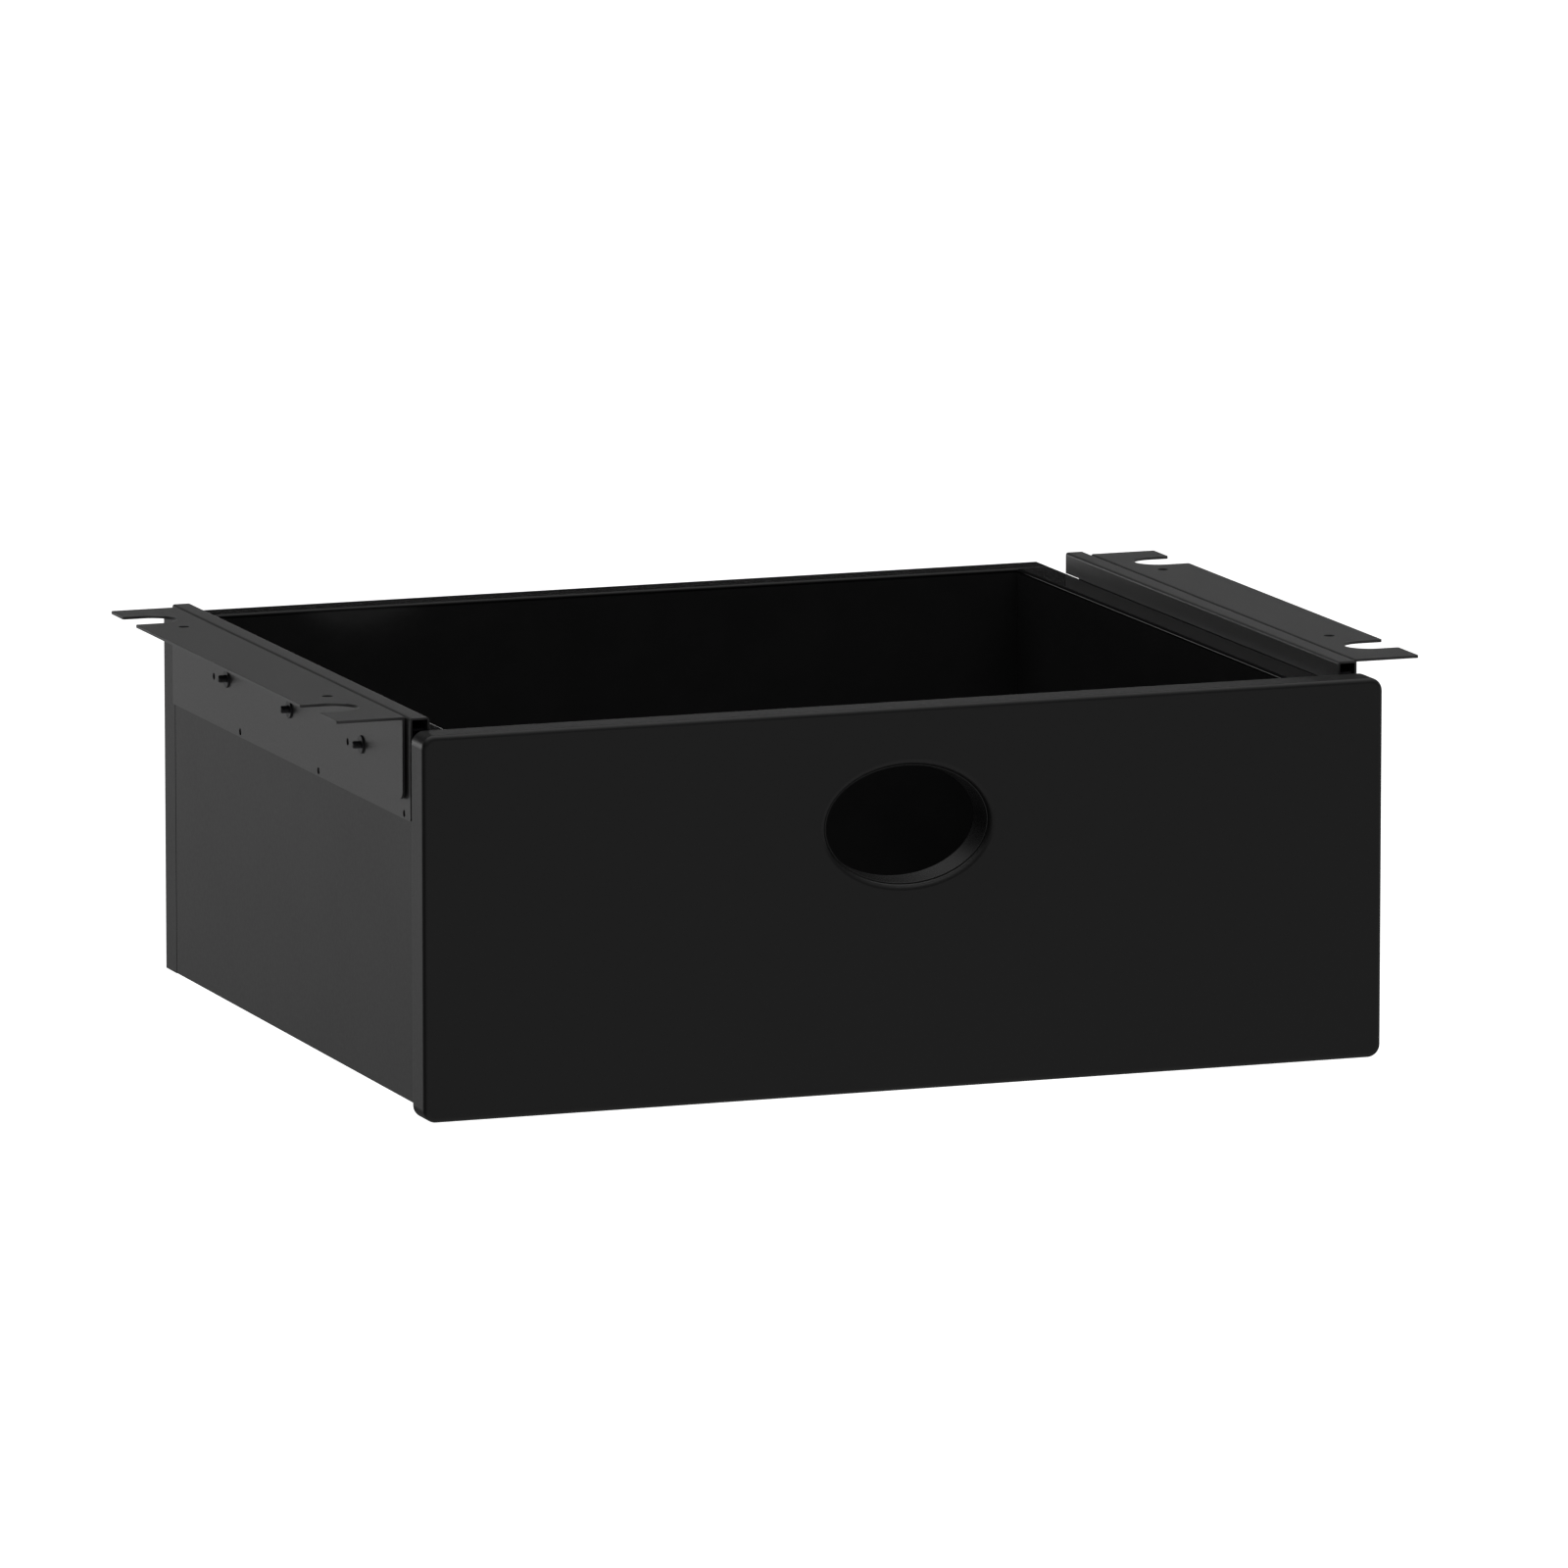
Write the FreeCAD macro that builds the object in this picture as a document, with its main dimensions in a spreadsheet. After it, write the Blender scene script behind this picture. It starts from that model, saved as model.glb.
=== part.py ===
import FreeCAD, Part
import math
import os
import Sketcher

# Under desk drawer: a lacquered board box with a rounded front and an oval
# finger hole, hung below a desk top by two folded steel brackets.  A folded
# cover on each side carries a two-member ball slide.
#
# Build coordinates: X to the right along the front from the left end of the
# front panel, Y towards the back from the face of the front panel, Z up from
# the bottom of the front panel.  Every sub-part then gets a Placement that puts
# the row origin at the centre of the four desk screw holes, on the top face of
# the bracket flanges.

doc = FreeCAD.newDocument("under_desk_drawer")

# ---------------------------------------------------------------- spreadsheet
sheet = doc.addObject("Spreadsheet::Sheet", "Dims")
CELLS = [
    # front panel
    ("front_width", 500.0), ("front_height", 190.0), ("front_thick", 18.0),
    ("front_edge_radius", 2.5), ("front_corner_radius", 6.5), ("front_back_radius", 1.2),
    ("finger_hole_height", 131.8), ("finger_hole_width", 85.3), ("finger_hole_drop", 59.4),
    ("finger_hole_lip", 2.8),
    # oval liner in the finger hole
    ("liner_gap", 0.1), ("liner_wall", 0.6), ("liner_setback", 2.7), ("liner_taper", 1.2),
    ("liner_back_inset", 0.4), ("liner_edge", 0.25),
    # box
    ("box_inset", 12.25), ("box_height", 183.4), ("wall_thick", 18.0), ("box_back", 440.0),
    ("rim_radius", 1.5), ("outer_edge_radius", 0.6), ("seam_radius", 0.5),
    ("bottom_thick", 8.0), ("bottom_lift", 10.0), ("groove_depth", 7.0), ("groove_slack", 0.15),
    # steel sheet parts
    ("top_height", 194.5), ("bracket_thick", 1.5), ("bracket_reach", 34.0),
    ("bracket_front", 33.0), ("bracket_back", 388.0), ("bracket_web_low", 153.5),
    ("bracket_bend", 0.8), ("bracket_bend_in", 0.3), ("tongue_short", 1.5), ("sheet_edge_radius", 0.35), ("web_gap", 0.65), ("bracket_web_corner", 5.0), ("tongue_corner", 1.0),
    ("notch_radius", 12.5), ("notch_front", 71.5), ("notch_back", 355.5),
    ("desk_hole_radius", 2.75), ("desk_hole_offset", 13.5), ("desk_hole_front", 103.5), ("desk_hole_pitch", 224.5),
    ("cover_thick", 1.0), ("cover_out", 2.95), ("cover_width", 9.9), ("cover_front", 27.5), ("cover_back", 397.0),
    ("cover_low", 143.7), ("cover_lip_step", 184.5), ("cover_lip_low", 183.7), ("cover_lip_thin", 0.5), ("cover_bend", 1.3), ("cover_corner", 1.5),
    ("small_hole_radius", 1.8), ("small_hole_height", 146.4),
    ("small_hole_front", 37.0), ("small_hole_mid", 166.8), ("small_hole_rear", 289.0),
    ("pin_hole_height", 169.2), ("pin_hole_front", 115.5), ("pin_hole_rear", 324.0),
    # M4 screws and the press nuts in the bracket web
    ("bolt_height", 171.3), ("bolt_front", 94.2), ("bolt_mid", 204.6), ("bolt_rear", 302.9),
    ("bolt_radius", 2.0), ("bolt_head_radius", 3.5), ("bolt_tip", 4.0), ("bolt_clear", 0.04),
    ("nut_flange_radius", 4.5), ("nut_flange_thick", 0.9), ("nut_shank_radius", 3.0),
    # ball slide, 8.3 mm thick and 35 mm high
    ("rail_sheet", 1.0), ("rail_half", 17.5), ("outer_depth", 7.6), ("outer_lip", 1.5),
    ("outer_front", 30.0), ("outer_back", 390.0),
    ("inner_front", 20.0), ("inner_back", 380.0), ("inner_half", 13.12), ("inner_depth", 6.4), ("inner_lip", 0.9),
    ("slide_thick", 8.3), ("ball_radius", 1.6), ("ball_depth", 4.6), ("ball_half", 14.82),
    ("ball_pitch", 20.0), ("ball_first", 172.0),
    ("cage_front", 166.0), ("cage_back", 378.0), ("cage_gauge", 0.5), ("cage_depth", 1.2), ("cage_reach", 6.4), ("cage_half", 15.1),
    ("ball_slot", 0.15),
    ("bumper_front", 380.4), ("bumper_back", 387.0), ("bumper_half", 8.0), ("bumper_depth", 7.2),
    # screws of the inner rail
    ("rail_screw_radius", 1.75), ("rail_screw_head", 3.6), ("rail_screw_head_thick", 1.4), ("rail_screw_long", 13.0),
    ("rail_screw_first", 42.0), ("rail_screw_pitch", 104.0),
    # knock-down fittings
    ("cam_radius", 7.5), ("cam_deep", 12.5), ("cam_setback", 24.0), ("cam_low", 45.0), ("cam_high", 138.0),
    ("cam_bolt_radius", 3.0), ("cam_bolt_head", 3.5), ("cam_bolt_thread", 2.9), ("cam_bolt_in_front", 11.0),
    ("dowel_radius", 4.0), ("dowel_in_front", 11.0), ("dowel_in_wall", 20.0), ("dowel_height", 92.0),
    ("back_screw_radius", 2.4), ("back_screw_head", 4.6), ("back_screw_long", 46.0),
    ("back_screw_low", 30.0), ("back_screw_high", 153.0),
    ("fit_gap", 0.05),
]
for row, (alias, value) in enumerate(CELLS, start=1):
    sheet.set("A%d" % row, alias)
    sheet.set("B%d" % row, "%r" % value)
    sheet.setAlias("B%d" % row, alias)
doc.recompute()


def val(alias):
    """Value of a sheet cell in mm."""
    return float(getattr(sheet, alias))


def ev(expr):
    """Value of an expression over the sheet's aliases."""
    return float(eval_expr(expr))


def tie(expr):
    """Turns bare aliases into references to the sheet, for setExpression."""
    out, word = [], ""
    for ch in expr + " ":
        if ch.isalnum() or ch == "_":
            word += ch
        else:
            if word and word in ALIASES:
                out.append("Dims." + word)
            else:
                out.append(word)
            word = ""
            out.append(ch)
    return "".join(out).strip()


ALIASES = set(a for a, _ in CELLS)


def eval_expr(expr):
    return probe_value(tie(expr))


# An object with no shape that evaluates an
# expression, so that starting values agree with the bound ones.
helper = doc.addObject("App::FeaturePython", "Helper")
helper.addProperty("App::PropertyFloat", "number")


def probe_value(text):
    return float(helper.evalExpression(text))


# ------------------------------------------------------------- sketch helpers
def plane(body, role):
    for feature in body.Origin.OriginFeatures:
        if feature.Role == role:
            return feature
    raise RuntimeError("no plane " + role)


def new_body(label):
    body = doc.addObject("PartDesign::Body", label)
    body.Label = label
    return body


def new_sketch(body, role, name, offset=None):
    """A sketch on one of the body's own origin planes, moved along its normal."""
    sk = body.newObject("Sketcher::SketchObject", name)
    sk.AttachmentSupport = [(plane(body, role), "")]
    sk.MapMode = "FlatFace"
    if offset is not None:
        sk.AttachmentOffset = FreeCAD.Placement(FreeCAD.Vector(0, 0, ev(offset)), FreeCAD.Rotation())
        sk.setExpression("AttachmentOffset.Base.z", tie(offset))
    return sk


def pin(sk, geo, pos, ex, ey):
    """Fixes a point of the sketch at (ex, ey), both bound to the sheet."""
    for kind, e in (("DistanceX", ex), ("DistanceY", ey)):
        n = sk.addConstraint(Sketcher.Constraint(kind, -1, 1, geo, pos, ev(e)))
        name = "k%d" % n
        sk.renameConstraint(n, name)
        sk.setExpression("Constraints." + name, tie(e))


def polygon(sk, points):
    """A closed outline through the points, each bound to the sheet."""
    base = sk.GeometryCount
    xy = [FreeCAD.Vector(ev(a), ev(b), 0) for a, b in points]
    n = len(points)
    for i in range(n):
        sk.addGeometry(Part.LineSegment(xy[i], xy[(i + 1) % n]), False)
    for i in range(n):
        sk.addConstraint(Sketcher.Constraint("Coincident", base + i, 2, base + (i + 1) % n, 1))
    for i, (a, b) in enumerate(points):
        pin(sk, base + i, 1, a, b)


def rectangle(sk, x0, y0, x1, y1):
    polygon(sk, [(x0, y0), (x1, y0), (x1, y1), (x0, y1)])


def circle(sk, cx, cy, radius):
    g = sk.addGeometry(Part.Circle(FreeCAD.Vector(ev(cx), ev(cy), 0), FreeCAD.Vector(0, 0, 1), ev(radius)), False)
    pin(sk, g, 3, cx, cy)
    n = sk.addConstraint(Sketcher.Constraint("Radius", g, ev(radius)))
    sk.renameConstraint(n, "k%d" % n)
    sk.setExpression("Constraints.k%d" % n, tie(radius))


def ellipse(sk, cx, cy, half_x, half_y):
    x, y, a, b = ev(cx), ev(cy), ev(half_x), ev(half_y)
    g = sk.addGeometry(Part.Ellipse(FreeCAD.Vector(x + a, y, 0), FreeCAD.Vector(x, y + b, 0), FreeCAD.Vector(x, y, 0)), False)
    major = sk.addGeometry(Part.LineSegment(FreeCAD.Vector(x - a, y, 0), FreeCAD.Vector(x + a, y, 0)), True)
    minor = sk.addGeometry(Part.LineSegment(FreeCAD.Vector(x, y - b, 0), FreeCAD.Vector(x, y + b, 0)), True)
    sk.addConstraint(Sketcher.Constraint("InternalAlignment:EllipseMajorDiameter", major, g))
    sk.addConstraint(Sketcher.Constraint("InternalAlignment:EllipseMinorDiameter", minor, g))
    sk.addConstraint(Sketcher.Constraint("Horizontal", major))
    pin(sk, g, 3, cx, cy)
    for geo, e in ((major, "2 * (" + half_x + ")"), (minor, "2 * (" + half_y + ")")):
        n = sk.addConstraint(Sketcher.Constraint("Distance", geo, 1, geo, 2, ev(e)))
        sk.renameConstraint(n, "k%d" % n)
        sk.setExpression("Constraints.k%d" % n, tie(e))


def pad(body, sk, name, length, reverse=False):
    p = body.newObject("PartDesign::Pad", name)
    p.Profile = sk
    p.Type = "Length"
    p.Length = ev(length)
    p.setExpression("Length", tie(length))
    p.Reversed = reverse
    sk.Visibility = False
    doc.recompute()
    return p


def pocket(body, sk, name, length, reverse=False):
    """Cuts against the sketch normal; stops the build when nothing is cut."""
    before = body.Shape.Volume
    p = body.newObject("PartDesign::Pocket", name)
    p.Profile = sk
    p.Type = "Length"
    p.Length = ev(length)
    p.setExpression("Length", tie(length))
    p.Reversed = reverse
    sk.Visibility = False
    doc.recompute()
    if not body.Shape.Volume < before - 0.5:
        raise RuntimeError("pocket %s of %s cut nothing" % (name, body.Label))
    return p


def edges_where(shape, test):
    """Names of the edges whose sample points all pass the test."""
    names = []
    for i, edge in enumerate(shape.Edges, start=1):
        pts = edge.discretize(Number=5)
        if all(test(p) for p in pts):
            names.append("Edge%d" % i)
    return names


def fillet(body, name, radius, test, kind="PartDesign::Fillet"):
    base = body.Tip
    names = edges_where(base.Shape, test)
    if not names:
        raise RuntimeError("no edge for %s of %s" % (name, body.Label))
    f = body.newObject(kind, name)
    f.Base = (base, names)
    prop = "Radius" if kind.endswith("Fillet") else "Size"
    setattr(f, prop, ev(radius))
    f.setExpression(prop, tie(radius))
    doc.recompute()
    if f.Shape.isNull() or not f.Shape.isValid():
        raise RuntimeError("%s of %s failed" % (name, body.Label))
    return f


def near(a, b, tol=0.02):
    return abs(a - b) < tol


SUBPARTS = []


def place(obj):
    """Moves a finished sub-part from the build corner to the row origin."""
    obj.Placement = FreeCAD.Placement(
        FreeCAD.Vector(ev("-front_width / 2"), ev("-(desk_hole_front + desk_hole_pitch / 2)"), ev("-top_height")),
        FreeCAD.Rotation())
    obj.setExpression("Placement.Base.x", tie("-front_width / 2"))
    obj.setExpression("Placement.Base.y", tie("-(desk_hole_front + desk_hole_pitch / 2)"))
    obj.setExpression("Placement.Base.z", tie("-top_height"))
    SUBPARTS.append(obj)
    return obj


def feature(label, shape):
    """A group of identical solids, sized from the sheet in the code above it."""
    obj = doc.addObject("Part::Feature", label)
    obj.Label = label
    obj.Shape = shape
    return place(obj)


def vec(x, y, z):
    return FreeCAD.Vector(x, y, z)


def side_x(side, expr):
    """An X expression for the left side, or its mirror image on the right."""
    return expr if side == "left" else "front_width - (" + expr + ")"


# ----------------------------------------------------------------- front panel
front = new_body("front_panel")
sk = new_sketch(front, "XZ_Plane", "front_outline")
rectangle(sk, "0", "0", "front_width", "front_height")
pad(front, sk, "front_board", "front_thick", reverse=True)
FW, FH, FT = val("front_width"), val("front_height"), val("front_thick")
fillet(front, "front_corners", "front_corner_radius",
       lambda p: (near(p.x, 0) or near(p.x, FW)) and (near(p.z, 0) or near(p.z, FH)))
fillet(front, "front_edges", "front_edge_radius", lambda p: near(p.y, 0))
fillet(front, "back_edges", "front_back_radius", lambda p: near(p.y, FT))
sk = new_sketch(front, "XZ_Plane", "finger_hole_outline")
ellipse(sk, "front_width / 2", "finger_hole_height", "finger_hole_width / 2", "finger_hole_drop / 2")
pocket(front, sk, "finger_hole", "front_thick")
HX, HZ = FW / 2, val("finger_hole_height")
fillet(front, "finger_hole_lip_round", "finger_hole_lip",
       lambda p: near(p.y, 0) and abs(p.x - HX) < 60 and abs(p.z - HZ) < 45)
# groove for the bottom board in the back of the panel
sk = new_sketch(front, "XZ_Plane", "bottom_groove_outline", "-front_thick")
rectangle(sk, "box_inset + wall_thick - groove_depth", "bottom_lift",
          "front_width - (box_inset + wall_thick - groove_depth)", "bottom_lift + bottom_thick")
pocket(front, sk, "bottom_groove", "groove_depth", reverse=True)
# bores for the cam bolts and dowels in the back of the panel
sk = new_sketch(front, "XZ_Plane", "cam_bolt_bores", "-front_thick")
for s in ("left", "right"):
    for hz in ("cam_low", "cam_high"):
        circle(sk, side_x(s, "box_inset + wall_thick / 2"), hz, "cam_bolt_thread + fit_gap")
pocket(front, sk, "cam_bolt_holes", "cam_bolt_in_front + 0.5", reverse=True)
sk = new_sketch(front, "XZ_Plane", "dowel_bores", "-front_thick")
for s in ("left", "right"):
    circle(sk, side_x(s, "box_inset + wall_thick / 2"), "dowel_height", "dowel_radius + fit_gap")
pocket(front, sk, "dowel_holes", "dowel_in_front + 0.5", reverse=True)
place(front)

# ------------------------------------------------------------ finger hole liner
liner = new_body("finger_hole_liner")
LO_X, LO_Z = "finger_hole_width / 2 - liner_gap", "finger_hole_drop / 2 - liner_gap"
sk = new_sketch(liner, "XZ_Plane", "liner_outside", "-liner_setback")
ellipse(sk, "front_width / 2", "finger_hole_height", LO_X, LO_Z)
pad(liner, sk, "liner_sleeve", "front_thick - liner_setback - liner_back_inset", reverse=True)
vol = liner.Shape.Volume
cut = liner.newObject("PartDesign::SubtractiveLoft", "liner_opening")
a = new_sketch(liner, "XZ_Plane", "liner_mouth", "-liner_setback")
ellipse(a, "front_width / 2", "finger_hole_height", LO_X + " - liner_wall", LO_Z + " - liner_wall")
b = new_sketch(liner, "XZ_Plane", "liner_throat", "-(front_thick - liner_back_inset)")
ellipse(b, "front_width / 2", "finger_hole_height", LO_X + " - liner_wall - liner_taper", LO_Z + " - liner_wall - liner_taper")
liner.Group = [o for o in liner.Group if o is not cut] + [cut]
cut.BaseFeature = doc.getObject("liner_sleeve")
cut.Profile = a
cut.Sections = [b]
cut.Ruled = True
liner.Tip = cut
doc.recompute()
if not liner.Shape.Volume < 0.3 * vol:
    raise RuntimeError("liner opening cut nothing")
LS = val("liner_setback")
fillet(liner, "liner_edge_round", "liner_edge", lambda p: near(p.y, LS))
place(liner)

# ------------------------------------------------------------------ side walls
for side in ("left", "right"):
    body = new_body(side + "_side_panel")
    x_out, x_in = side_x(side, "box_inset"), side_x(side, "box_inset + wall_thick")
    lo, hi = (x_out, x_in) if side == "left" else (x_in, x_out)
    sk = new_sketch(body, "XY_Plane", side + "_wall_outline")
    rectangle(sk, lo, "front_thick", hi, "box_back - wall_thick")
    pad(body, sk, side + "_wall", "box_height")
    # groove for the bottom board, open at both ends
    g0, g1 = side_x(side, "box_inset + wall_thick - groove_depth"), side_x(side, "box_inset + wall_thick")
    glo, ghi = (g0, g1) if side == "left" else (g1, g0)
    sk = new_sketch(body, "XZ_Plane", side + "_groove_outline", "-front_thick")
    rectangle(sk, glo, "bottom_lift", ghi, "bottom_lift + bottom_thick")
    pocket(body, sk, side + "_groove", "box_back - wall_thick - front_thick")
    # cam bores from the inside face
    sk = new_sketch(body, "YZ_Plane", side + "_cam_outline", side_x(side, "box_inset + wall_thick"))
    for hz in ("cam_low", "cam_high"):
        circle(sk, "front_thick + cam_setback", hz, "cam_radius + fit_gap")
    pocket(body, sk, side + "_cam_bores", "cam_deep + 0.9", reverse=(side == "right"))
    # cam bolt and dowel bores in the front end
    sk = new_sketch(body, "XZ_Plane", side + "_bolt_outline", "-front_thick")
    for hz in ("cam_low", "cam_high"):
        circle(sk, side_x(side, "box_inset + wall_thick / 2"), hz, "cam_bolt_head + 0.3")
    pocket(body, sk, side + "_bolt_bores", "cam_setback")
    sk = new_sketch(body, "XZ_Plane", side + "_dowel_outline", "-front_thick")
    circle(sk, side_x(side, "box_inset + wall_thick / 2"), "dowel_height", "dowel_radius + fit_gap")
    pocket(body, sk, side + "_dowel_bore", "dowel_in_wall + 0.5")
    # screw bores in the back end
    sk = new_sketch(body, "XZ_Plane", side + "_back_screw_outline", "-(box_back - wall_thick)")
    for hz in ("back_screw_low", "dowel_height", "back_screw_high"):
        circle(sk, side_x(side, "box_inset + wall_thick / 2"), hz, "back_screw_radius + fit_gap")
    pocket(body, sk, side + "_back_screw_bores", "back_screw_long - wall_thick + 1", reverse=True)
    # pilot bores of the slide screws in the outside face
    sk = new_sketch(body, "YZ_Plane", side + "_pilot_outline", side_x(side, "box_inset"))
    for k in range(4):
        circle(sk, "rail_screw_first + %d * rail_screw_pitch" % k, "bolt_height", "rail_screw_radius + fit_gap")
    pocket(body, sk, side + "_pilot_bores", "rail_screw_long + 0.5", reverse=(side == "left"))
    # rounded rim
    BH, XI, XO = val("box_height"), ev(x_in), ev(x_out)
    fillet(body, side + "_rim_inside", "rim_radius", lambda p: near(p.z, BH) and near(p.x, XI))
    fillet(body, side + "_rim_outside", "outer_edge_radius", lambda p: near(p.z, BH) and near(p.x, XO))
    fillet(body, side + "_low_edge", "outer_edge_radius", lambda p: near(p.z, 0) and near(p.x, XO))
    fillet(body, side + "_seam_edge", "seam_radius",
           lambda p: near(p.x, XO) and near(p.y, val("box_back") - val("wall_thick")))
    place(body)

# ------------------------------------------------------------------ back wall
back = new_body("back_panel")
sk = new_sketch(back, "XZ_Plane", "back_outline", "-(box_back - wall_thick)")
rectangle(sk, "box_inset", "0", "front_width - box_inset", "box_height")
pad(back, sk, "back_board", "wall_thick", reverse=True)
sk = new_sketch(back, "XZ_Plane", "back_groove_outline", "-(box_back - wall_thick)")
rectangle(sk, "box_inset + wall_thick - groove_depth", "bottom_lift",
          "front_width - (box_inset + wall_thick - groove_depth)", "bottom_lift + bottom_thick")
pocket(back, sk, "back_groove", "groove_depth")
sk = new_sketch(back, "XZ_Plane", "back_bore_outline", "-box_back")
for s in ("left", "right"):
    for hz in ("back_screw_low", "dowel_height", "back_screw_high"):
        circle(sk, side_x(s, "box_inset + wall_thick / 2"), hz, "back_screw_radius + fit_gap")
pocket(back, sk, "back_bores", "wall_thick", reverse=True)
YB = val("box_back")
fillet(back, "back_countersinks", "back_screw_head - back_screw_radius",
       lambda p: near(p.y, YB) and 1 < p.z < 180 and (abs(p.x - val("box_inset") - 9) < 6 or abs(p.x - FW + val("box_inset") + 9) < 6),
       kind="PartDesign::Chamfer")
YI = YB - val("wall_thick")
fillet(back, "back_rim_inside", "rim_radius", lambda p: near(p.z, val("box_height")) and near(p.y, YI))
fillet(back, "back_seam_edges", "seam_radius",
       lambda p: near(p.y, YI) and (near(p.x, val("box_inset")) or near(p.x, FW - val("box_inset"))))
fillet(back, "back_outer_edges", "outer_edge_radius",
       lambda p: near(p.y, YB) and (near(p.z, val("box_height")) or near(p.z, 0) or near(p.x, val("box_inset")) or near(p.x, FW - val("box_inset"))))
place(back)

# ---------------------------------------------------------------- bottom board
bottom = doc.addObject("Part::Box", "bottom_panel")
bottom.Label = "bottom_panel"
for prop, e in (("Length", "front_width - 2 * (box_inset + wall_thick - groove_depth + groove_slack)"),
                ("Width", "box_back - wall_thick - front_thick + 2 * (groove_depth - groove_slack)"),
                ("Height", "bottom_thick - 2 * fit_gap")):
    bottom.setExpression(prop, tie(e))
doc.recompute()
BX = "box_inset + wall_thick - groove_depth + groove_slack - front_width / 2"
BY = "front_thick - groove_depth + groove_slack - (desk_hole_front + desk_hole_pitch / 2)"
BZ = "bottom_lift + fit_gap - top_height"
bottom.Placement = FreeCAD.Placement(vec(ev(BX), ev(BY), ev(BZ)), FreeCAD.Rotation())
bottom.setExpression("Placement.Base.x", tie(BX))
bottom.setExpression("Placement.Base.y", tie(BY))
bottom.setExpression("Placement.Base.z", tie(BZ))
SUBPARTS.append(bottom)

# -------------------------------------------------- steel brackets and covers
for side in ("left", "right"):
    # L bracket: the flange screws to the desk, the web carries the cover
    body = new_body(side + "_mounting_bracket")
    outline = [("-bracket_reach", "top_height - bracket_thick"),
               ("cover_out - web_gap - bracket_thick", "top_height - bracket_thick"),
               ("cover_out - web_gap - bracket_thick", "bracket_web_low"),
               ("cover_out - web_gap", "bracket_web_low"),
               ("cover_out - web_gap", "top_height"),
               ("-bracket_reach", "top_height")]
    sk = new_sketch(body, "XZ_Plane", side + "_bracket_profile", "-bracket_front")
    polygon(sk, [(side_x(side, x), z) for x, z in outline])
    pad(body, sk, side + "_bracket_fold", "bracket_back - bracket_front", reverse=True)
    TZ, XC = val("top_height"), ev(side_x(side, "cover_out - web_gap"))
    XW = ev(side_x(side, "cover_out - web_gap - bracket_thick"))
    fillet(body, side + "_bracket_bend_out", "bracket_bend", lambda p: near(p.z, TZ) and near(p.x, XC))
    fillet(body, side + "_bracket_bend_in", "bracket_bend_in",
           lambda p: near(p.z, TZ - val("bracket_thick")) and near(p.x, XW))
    # end tongues, a little shorter than the middle of the flange
    for tag, y0, y1 in (("front", "bracket_front - 1", "notch_front"), ("back", "notch_back", "bracket_back + 1")):
        sk = new_sketch(body, "XY_Plane", side + "_tongue_" + tag + "_outline", "top_height")
        t0, t1 = side_x(side, "-bracket_reach - 1"), side_x(side, "tongue_short - bracket_reach")
        tlo, thi = (t0, t1) if side == "left" else (t1, t0)
        rectangle(sk, tlo, y0, thi, y1)
        pocket(body, sk, side + "_tongue_" + tag, "bracket_thick + 0.5")
    # U notches, open towards the outside
    for tag, y in (("front", "notch_front"), ("back", "notch_back")):
        sk = new_sketch(body, "XY_Plane", side + "_notch_" + tag + "_outline", "top_height")
        inner = side_x(side, "notch_radius - bracket_reach")
        outer = side_x(side, "-bracket_reach - 1")
        cx, cy, r = ev(inner), ev(y), val("notch_radius")
        ox = ev(outer)
        turn = -1 if side == "left" else 1
        l1 = sk.addGeometry(Part.LineSegment(vec(ox, cy - r, 0), vec(cx, cy - r, 0)), False)
        a0 = FreeCAD.Vector(cx, cy, 0)
        if side == "left":
            arc = Part.ArcOfCircle(Part.Circle(a0, vec(0, 0, 1), r), -math.pi / 2, math.pi / 2)
            start, end = 1, 2
        else:
            arc = Part.ArcOfCircle(Part.Circle(a0, vec(0, 0, 1), r), math.pi / 2, 3 * math.pi / 2)
            start, end = 2, 1
        ar = sk.addGeometry(arc, False)
        l2 = sk.addGeometry(Part.LineSegment(vec(cx, cy + r, 0), vec(ox, cy + r, 0)), False)
        l3 = sk.addGeometry(Part.LineSegment(vec(ox, cy + r, 0), vec(ox, cy - r, 0)), False)
        sk.addConstraint(Sketcher.Constraint("Tangent", l1, 2, ar, start))
        sk.addConstraint(Sketcher.Constraint("Tangent", ar, end, l2, 1))
        sk.addConstraint(Sketcher.Constraint("Coincident", l2, 2, l3, 1))
        sk.addConstraint(Sketcher.Constraint("Coincident", l3, 2, l1, 1))
        sk.addConstraint(Sketcher.Constraint("Horizontal", l1))
        sk.addConstraint(Sketcher.Constraint("Vertical", l3))
        pin(sk, ar, 3, inner, y)
        n = sk.addConstraint(Sketcher.Constraint("Radius", ar, r))
        sk.renameConstraint(n, "reach_radius")
        sk.setExpression("Constraints.reach_radius", tie("notch_radius"))
        n = sk.addConstraint(Sketcher.Constraint("DistanceX", -1, 1, l3, 1, ox))
        sk.renameConstraint(n, "mouth")
        sk.setExpression("Constraints.mouth", tie(outer))
        pocket(body, sk, side + "_notch_" + tag, "bracket_thick + 0.5")
    sk = new_sketch(body, "XY_Plane", side + "_desk_hole_outline", "top_height")
    for y in ("desk_hole_front", "desk_hole_front + desk_hole_pitch"):
        circle(sk, side_x(side, "-desk_hole_offset"), y, "desk_hole_radius")
    pocket(body, sk, side + "_desk_holes", "bracket_thick + 0.5")
    # holes in the web: three for the press nuts, two pin holes
    sk = new_sketch(body, "YZ_Plane", side + "_web_hole_outline", side_x(side, "cover_out - web_gap"))
    for y in ("bolt_front", "bolt_mid", "bolt_rear"):
        circle(sk, y, "bolt_height", "nut_shank_radius + fit_gap / 2")
    for y in ("pin_hole_front", "pin_hole_rear"):
        circle(sk, y, "pin_hole_height", "small_hole_radius")
    pocket(body, sk, side + "_web_holes", "bracket_thick + 0.5", reverse=(side == "right"))
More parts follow.
